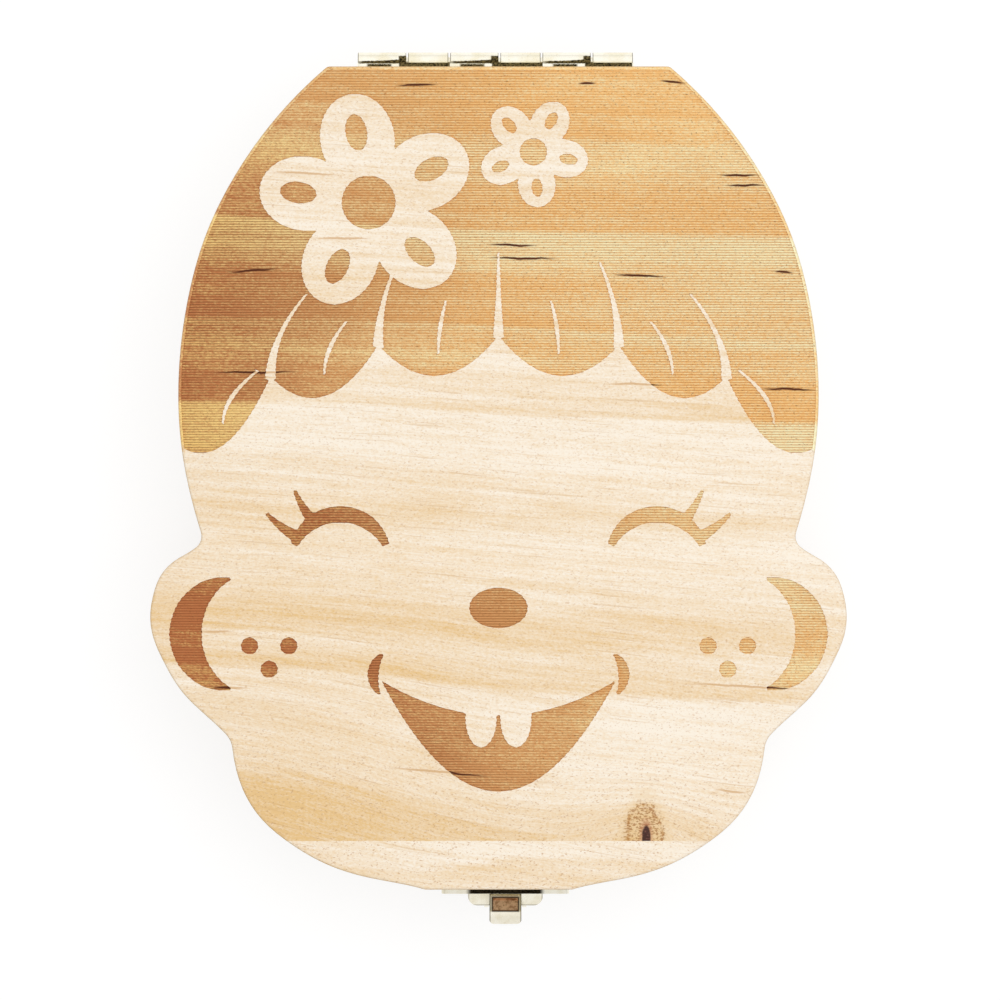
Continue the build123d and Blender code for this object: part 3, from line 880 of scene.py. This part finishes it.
def pine(name, seed, pith, streaks, tilt, rings=None, knot=None, burnt=False):
    """Sanded pine with growth rings round a pith that runs along X. The lid is also burnt."""
    g = Solid(name, seed, WOOD_LAYERS)
    shift = ring_shift(g, tilt, knot, burnt)
    shifted = g.math("ADD", g.y, shift)
    across = g.math("SUBTRACT", shifted, pith[0])
    depth = g.math("SUBTRACT", g.z, pith[1])
    radius = g.math("SQRT", g.blend(across, across, g.product(depth, depth)))
    ring = ring_bands(g, radius, rings) if rings else growth_rings(g, radius)

    # The fibres follow the rings, and lean a little more towards the chin
    lean = g.product(g.x, g.remap(g.y, *GRAIN_LEAN))
    grain = g.new("ShaderNodeCombineXYZ", {0: g.x, 1: g.math("ADD", shifted, lean), 2: g.z})
    layers = {key: g.layer(key, grain) for key in ("fibre", "broad", "thread", "fleck")}
    layers |= {key: g.layer(key) for key in ("cloud", "grit")}

    # Warmer and darker to the left and lower down: partly painted shade, partly the wood's own tone
    left = g.remap(g.x, *LEFT_PART)
    low = g.remap(g.y, *LOW_PART)
    lit = g.blend(g.product(low, left), WARM_LOW_LEFT, g.product(left, WARM_LEFT))
    lit = g.blend(low, WARM_LOW, lit)
    warm = g.swung(g.blend(ring, g.remap(g.y, *WARM_RINGS), lit), layers, WARM_SWINGS)
    warm = g.math("ADD", warm, 0.0, clamp=True)
    wood = g.mix(warm, colour(*PALE_WOOD), colour(*WARM_WOOD))
    wood = g.tint(g.remap(layers["thread"], *THREADS), wood, THREAD_TONE)
    specks = g.product(g.remap(layers["grit"], *SPECKS), g.remap(g.y, *SPECK_SHARE))
    wood = g.tint(specks, wood, SPECK_TONE)
    char = None
    if burnt:
        wood, char = charred(g, wood, ring, layers, low)
    wood = resin(g, wood, streaks, char)
    if knot:
        wood = knotted(g, wood, layers, knot)
    # Side faces tinted darker and warmer: partly end grain's tone, partly painted warm bounce light
    facing = g.axes(g.new("ShaderNodeTexCoord", {}, "Normal"))
    sideways = g.remap(g.math("ABSOLUTE", facing[2]), *SIDE_FACING)
    wood = g.mix(sideways, wood, colour(*SIDE_TINT), "MULTIPLY")

    height = g.blend(layers["fibre"], WOOD_FIBRE_HEIGHT, g.product(layers["grit"], WOOD_GRIT_HEIGHT))
    g.finish({
        "Base Color": wood,
        "Roughness": g.remap(layers["fibre"], *WOOD_ROUGHNESS),
        "Specular IOR Level": WOOD_SPECULAR,
        "Normal": g.new("ShaderNodeBump", WOOD_BUMP | {"Height": height}),
    })
    return g.owner


# Brass: two plain tones and a pitted one, then the hinge's and the latch's sizes
GOLD = ((255, 251, 236), (248, 240, 214), (206, 184, 130))
SCREW = ((244, 232, 196), (228, 210, 162), (176, 144, 86))
SILVER = ((242, 237, 222), (231, 223, 200), (178, 160, 122))
# Dark tones of the painted shade and painted dark reflections on the fittings
SHADE_TONES = ((34, 28, 16), (112, 98, 62))
BLACK_SHADE_TONES = ((8, 6, 4), (40, 33, 21))
CLOUD_SPREAD = (0.35, 0.65)
PIT_SPREAD = (0.62, 0.74, 0.0, 0.35)
BRASS_ROUGHNESS = (0.3, 0.7, 0.16, 0.27)
BRASS_BUMP = {"Strength": 0.12, "Distance": 0.00006}
LINE_HEIGHT = 0.5
PIT_HEIGHT = 0.5
# How the two tones of the fittings' painted shade mix
SHADE_SPREAD = (0.38, 0.60)

# The thumb tab's hollow: partly reddish patina, partly a painted reflection of the wood's brown face,
# mottled light and brown with dark pits and a rim of painted shade
DISH = {"centre": (1.1, -67.6, 25.58), "slope": -35, "half": (2.2, 1.4, 0.30)}
DISH_SOFT = (0.1, -0.15)
DISH_DEEP = 0.2
DISH_BLOT_SPREAD = (0.44, 0.66)
DISH_PIT_SPREAD = (0.54, 0.66, 0.0, 0.5)
DISH_TONES = ((226, 188, 152), (170, 128, 96), (112, 78, 56), (48, 30, 20))
DISH_SIDES = (-0.35, -0.1)
DISH_FOOT = (0.5, 0.15)
DISH_HEAD = (-0.45, -0.1)
DISH_ROUGH = 0.12

KNUCKLE_PAIR = 14.7  # from one lid knuckle to the next
KNUCKLE_START = -22.4
LID_KNUCKLE = 7.7
KNUCKLE_GAP = 0.3
# Where the hinge's painted shade and painted dark reflection fall
KNUCKLE_TIP = (0.16, 0.07)  # where a base knuckle's end line begins and is full
# Noise that breaks up the painted shade at the base knuckles' ends
TIP_SHADE_BREAKUP = (0.3, 0.5, 0.5, 0.8)
LID_TIPS = ((0.022, 0.010, 0.0, 0.75), (0.980, 0.990, 0.0, 0.6))
TIP_Z = (21.2, 21.8)
ROLL_Z = (24.0, 23.5)  # the rolled part of the lid leaf ends here
LEAF_TOP_Z = (28.3, 28.45)
LEAF_PITS = 0.24
BEHIND = (0.85, 0.88)
SPOT_CENTRE = 0.46
SPOT_ALONG = (0.28, 0.22)
SPOT_Y = (65.52, 65.42)
SEAM_Y = 66.42
SEAM_RISE = 0.36
SEAM_EDGE = (0.06, -0.04)
SEAM_LEAF_Y = (65.50, 65.58)
SEAM_ALONG = (0.02, 0.12, 0.6, 1.0)
SEAM_Z = (21.8, 22.0)
END_ALONG = (0.83, 0.86)
END_Y = (67.35, 67.2)
OWN_ALONG = (1.02, 1.0)

LATCH_X = 1.1
LIP_HALF = 5.95
LEVER_HALF = 2.525
# The painted dark reflection on the lever's bevelled sides
LEVER_BEVEL = (0.2, 0.02, 0.0, 0.8)
LEVER_PITS = 0.08
# Where the keeper's painted shade and the lip's painted dark reflection fall
KEEPER_FACE_Y = -65.74
KEEPER_TOP_Z = (28.8, 29.1)
KEEPER_STRIP = (-0.06, 0.06)
KEEPER_SHARE = (6.4, 5.4, 0.12, 1.0)
KEEPER_PITS = 0.1
LIP_RIM = (0.30, 0.12)
LIP_ROOT = 0.3
LIP_SHARE = 0.35


def along_knuckles(g):
    """How far a place lies from the start of its pair of knuckles."""
    return g.math("MODULO", g.math("ADD", g.x, KNUCKLE_PAIR - KNUCKLE_START), KNUCKLE_PAIR)


def leaf_shade(g, pits):
    """Painted shade and painted dark reflection on the lid leaf: its cut top edge behind the base
    knuckles, and a seam on its own.
    """
    along = g.math("DIVIDE", along_knuckles(g), LID_KNUCKLE)
    rough_y = g.blend(pits, LEAF_PITS, g.math("SUBTRACT", g.y, LEAF_PITS / 2))
    on_top = g.remap(g.z, *LEAF_TOP_Z)
    from_spot = g.math("ABSOLUTE", g.math("SUBTRACT", along, SPOT_CENTRE))
    spot = g.product(g.remap(from_spot, *SPOT_ALONG), g.remap(rough_y, *SPOT_Y))
    on_edge = g.product(g.math("MAXIMUM", g.remap(along, *BEHIND), spot), on_top)
    seam_y = g.blend(g.math("POWER", along, 2.0), SEAM_RISE, SEAM_Y)
    under_seam = g.remap(g.math("SUBTRACT", rough_y, seam_y), *SEAM_EDGE)
    on_roll = g.remap(g.z, *ROLL_Z)
    on_leaf = g.product(g.remap(rough_y, *SEAM_LEAF_Y), on_top)
    seam = g.math("MAXIMUM", g.product(under_seam, on_roll), on_leaf)
    seam = g.product(seam, g.remap(along, *SEAM_ALONG), g.remap(g.z, *SEAM_Z))
    end = g.product(g.remap(along, *END_ALONG), g.remap(rough_y, *END_Y))
    first, second = [g.remap(along, *spread) for spread in LID_TIPS]
    tips = g.product(g.math("MAXIMUM", first, second), g.remap(g.z, *TIP_Z))
    rolled = g.product(g.math("MAXIMUM", end, tips), on_roll)
    own = g.product(g.math("MAXIMUM", seam, rolled), g.remap(along, *OWN_ALONG))
    return g.math("MAXIMUM", on_edge, own)


def base_leaf_shade(g, pits):
    """A fine dark line of painted shade round both ends of each base knuckle, by the gaps between the
    knuckles.
    """
    start = along_knuckles(g)
    first = LID_KNUCKLE + KNUCKLE_GAP
    last = KNUCKLE_PAIR - KNUCKLE_GAP
    wide, fine = KNUCKLE_TIP
    near = g.remap(start, first + wide, first + fine)
    tips = g.math("MAXIMUM", near, g.remap(start, last - wide, last - fine))
    return g.product(tips, g.remap(pits, *TIP_SHADE_BREAKUP), g.remap(g.z, *TIP_Z))


def keeper_shade(g, pits):
    """Painted shade on the keeper's cut top edge, darkest behind the lever, and a painted dark
    reflection along the lip's rim.
    """
    centre = g.math("ABSOLUTE", g.math("SUBTRACT", g.x, LATCH_X))
    share = g.remap(centre, *KEEPER_SHARE)
    depth = g.blend(pits, KEEPER_PITS, KEEPER_FACE_Y)
    strip = g.remap(g.math("SUBTRACT", g.y, depth), *KEEPER_STRIP)
    top = g.product(strip, share, g.remap(g.z, *KEEPER_TOP_Z))
    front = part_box("latch_keeper")[0][1] * METRES_TO_MM
    wide, fine = LIP_RIM
    rim = g.remap(g.y, front + wide, front + fine)
    side = g.remap(centre, LIP_HALF - wide, LIP_HALF - fine)
    side = g.product(side, g.remap(g.y, KEEPER_FACE_Y, KEEPER_FACE_Y - LIP_ROOT))
    return g.math("MAXIMUM", top, g.product(g.math("MAXIMUM", rim, side), LIP_SHARE))


def lever_shade(g, pits):
    """Painted dark reflection on the bevels along the lever's two sides."""
    centre = g.math("ABSOLUTE", g.math("SUBTRACT", g.x, LATCH_X))
    wide, fine, *shares = LEVER_BEVEL
    rough = g.blend(pits, LEVER_PITS, centre)
    return g.remap(rough, LEVER_HALF - wide, LEVER_HALF - fine, *shares)


def dished(g, tone, pits):
    """The reddish brown in the hollow of the thumb tab, partly patina and partly a painted reflection
    of the wood, with a dark rim of painted shade; and where it is.
    """
    spin = {"Vector": g.place, "Location": DISH["centre"]}
    spin["Rotation"] = (radians(DISH["slope"]), 0.0, 0.0)
    x, y, z = g.axes(g.new("ShaderNodeMapping", spin, vector_type="TEXTURE"))
    half_x, half_y, half_z = DISH["half"]
    from_side = g.math("ABSOLUTE", x)
    wide = g.remap(from_side, *[half_x + step for step in DISH_SOFT])
    long = g.remap(g.math("ABSOLUTE", y), *[half_y + step for step in DISH_SOFT])
    deep = g.remap(g.math("ABSOLUTE", z), half_z + DISH_DEEP, half_z)
    patina_and_reflection = g.product(wide, long, deep)
    light, brown, dark, rim = [colour(*byte) for byte in DISH_TONES]
    mottled = g.mix(g.remap(g.layer("blots"), *DISH_BLOT_SPREAD), light, brown)
    mottled = g.mix(g.remap(pits, *DISH_PIT_SPREAD), mottled, dark)
    sides = g.remap(from_side, *[half_x + step for step in DISH_SIDES])
    foot = g.remap(y, *[step - half_y for step in DISH_FOOT])
    head = g.remap(y, *[half_y + step for step in DISH_HEAD])
    edge = g.math("MAXIMUM", sides, g.math("MAXIMUM", foot, head))
    return g.mix(patina_and_reflection, tone, g.mix(edge, mottled, rim)), patina_and_reflection


def brass(name, seed, base, shade=None, shade_colours=SHADE_TONES, dish=False):
    """Bright pale plated brass with faint wear, and painted shade and painted dark reflection where a
    shade says so.
    """
    g = Solid(name, seed, BRASS_LAYERS)
    cloud, lines, pits = [g.layer(key) for key in ("cloud", "lines", "pits")]
    first, second, pitted = base
    tone = g.mix(g.remap(cloud, *CLOUD_SPREAD), colour(*first), colour(*second))
    tone = g.tint(g.remap(pits, *PIT_SPREAD), tone, pitted)
    rough = g.remap(cloud, *BRASS_ROUGHNESS)
    if dish:
        # The tab's hollow: patina and a painted reflection of the wood
        tone, patina_and_reflection = dished(g, tone, pits)
        rough = g.blend(patina_and_reflection, DISH_ROUGH, rough)
    # Painted shade and painted dark reflection, where the shade function puts them
    if shade:
        dark = g.mix(g.remap(pits, *SHADE_SPREAD), colour(*shade_colours[0]), colour(*shade_colours[1]))
        tone = g.mix(shade(g, pits), tone, dark)
    height = g.blend(lines, LINE_HEIGHT, g.product(pits, PIT_HEIGHT))
    g.finish({
        "Base Color": tone,
        "Roughness": rough,
        "Metallic": 1.0,
        "Normal": g.new("ShaderNodeBump", BRASS_BUMP | {"Height": height}),
    })
    return g.owner


def dress(obj, material):
    """Gives a CAD node's object one material."""
    obj.data.materials.clear()
    obj.data.materials.append(material)


# Brass fittings: nodes, then material, seed, tones, painted shade, the tones of that painted shade
# and whether it has the dish
FITTINGS = (
    (("hinge_pin",), "brass_pin", 2.0, GOLD),
    (("hinge_base_leaf",), "brass_hinge_base", 3.0, GOLD, base_leaf_shade),
    (("hinge_lid_leaf",), "brass_hinge_lid", 4.0, GOLD, leaf_shade),
    (("latch_base_plate", "latch_pin"), "brass_latch", 12.0, SILVER),
    (("latch_keeper",), "brass_keeper", 14.0, SILVER, keeper_shade, BLACK_SHADE_TONES),
    (
        ("hinge_lid_screws", "hinge_base_screws", "keeper_screws", "latch_base_screws"),
        "brass_screws", 22.0, SCREW,
    ),
    (("latch_lever",), "brass_lever", 31.0, SILVER, lever_shade, SHADE_TONES, True),
)

lid_pine = pine("pine_lid", LID_SEED, LID_PITH, LID_STREAKS, LID_TILT, lid_rings(), KNOT, True)
dress(engraved_lid(nodes["lid_main_board"]), lid_pine)
for board, *look in BOARDS:
    dress(nodes[board], pine(*look))
for names, *look in FITTINGS:
    plated = brass(*look)
    for name in names:
        dress(nodes[name], plated)

# Stage, where lengths are metres
WHITE = (1.0, 1.0, 1.0, 1.0)
FLOOR_HALF = 3.0
FLOOR_LEVEL = -0.0002
FLOOR_GREY = (0.26, 0.26, 0.26, 1.0)
FLOOR_GLOW = 0.79
WORLD_STRENGTH = 0.62
MIRROR_STRENGTH = 1.05
LAMP = {"size": 1.0, "energy": 6.2}
LAMP_PLACE = (0.22, 0.16, 1.15)
LAMP_TURN = (-0.14, 0.19, 0.0)
CAMERA = {"lens": 200.0, "sensor_width": 36.0}  # in millimetres
CAMERA_PLACE = (0.00024, -0.00347, 0.907)

# What mirrors see of the studio, by the height and by the depth of the direction: a value each
MIRROR_RISE = ((-1.0, 1.0), (0.0, 0.94), (0.10, 0.84), (0.20, 0.82), (0.36, 0.90), (0.75, 1.0))
MIRROR_DEPTH = (
    (-1.0, 0.9), (-0.96, 0.6), (-0.90, 0.6), (-0.80, 0.9), (-0.2, 0.96), (0.10, 1.0),
)


def white_floor():
    """A pale floor that the camera and mirrors see as white, with the box's shadow on it."""
    mesh = bpy.data.meshes.new("floor")
    signs = ((-1, -1), (1, -1), (1, 1), (-1, 1))
    corners = [(x * FLOOR_HALF, y * FLOOR_HALF, FLOOR_LEVEL) for x, y in signs]
    mesh.from_pydata(corners, [], [(0, 1, 2, 3)])
    floor = bpy.data.objects.new("floor", mesh)
    bpy.context.scene.collection.objects.link(floor)
    g = Graph(bpy.data.materials.new("floor_white"))
    rays = g.tree.nodes.new("ShaderNodeLightPath").outputs
    seen = g.math("MAXIMUM", rays["Is Camera Ray"], rays["Is Glossy Ray"])
    seen = g.math("MAXIMUM", seen, rays["Is Transmission Ray"])
    glow = {"Color": WHITE, "Strength": g.product(seen, FLOOR_GLOW)}
    glowing = g.new("ShaderNodeEmission", glow)
    shader = g.finish({"Base Color": FLOOR_GREY, "Roughness": 1.0, "Specular IOR Level": 0.0})
    both = g.new("ShaderNodeAddShader", {0: shader, 1: glowing})
    g.put(both, g.tree.nodes["Material Output"].inputs["Surface"])
    mesh.materials.append(g.owner)


def mirror_tone(g, height, stops):
    """A grey tone by a table from -1 to 1."""
    return g.ramp(g.blend(height, 0.5, 0.5), [((at + 1) / 2, tone) for at, tone in stops])


def studio():
    """White world, one large soft lamp overhead, and the camera straight above."""
    scene = bpy.context.scene
    scene.world = bpy.data.worlds.new("studio")
    g = Graph(scene.world)
    rays = g.tree.nodes.new("ShaderNodeLightPath").outputs
    toward = g.axes(g.new("ShaderNodeTexCoord", {}, "Generated"))
    tones = mirror_tone(g, toward[2], MIRROR_RISE), mirror_tone(g, toward[1], MIRROR_DEPTH)
    back = g.tree.nodes["Background"]
    g.put(WHITE, back.inputs["Color"])
    g.put(WORLD_STRENGTH, back.inputs["Strength"])
    mirrored = {"Color": g.mix(1.0, *tones, "MULTIPLY"), "Strength": MIRROR_STRENGTH}
    mirrored = g.new("ShaderNodeBackground", mirrored)
    shown = g.new("ShaderNodeBackground", {"Color": WHITE})
    lit = g.new("ShaderNodeMixShader", {0: rays["Is Glossy Ray"], 1: back.outputs[0], 2: mirrored})
    seen = g.new("ShaderNodeMixShader", {0: rays["Is Camera Ray"], 1: lit, 2: shown})
    g.put(seen, g.tree.nodes["World Output"].inputs[0])

    lamp_data = bpy.data.lights.new("softbox", "AREA")
    lamp_data.shape = "SQUARE"
    lamp_data.size = LAMP["size"]
    lamp_data.energy = LAMP["energy"]
    lamp = bpy.data.objects.new("softbox", lamp_data)
    lamp.location = LAMP_PLACE
    lamp.rotation_euler = LAMP_TURN
    lamp.visible_glossy = False
    scene.collection.objects.link(lamp)
    camera_data = bpy.data.cameras.new("camera")
    camera_data.lens = CAMERA["lens"]
    camera_data.sensor_width = CAMERA["sensor_width"]
    camera = bpy.data.objects.new("camera", camera_data)
    camera.location = CAMERA_PLACE
    scene.collection.objects.link(camera)
    scene.camera = camera
    scene.view_settings.view_transform = "Standard"


white_floor()
studio()
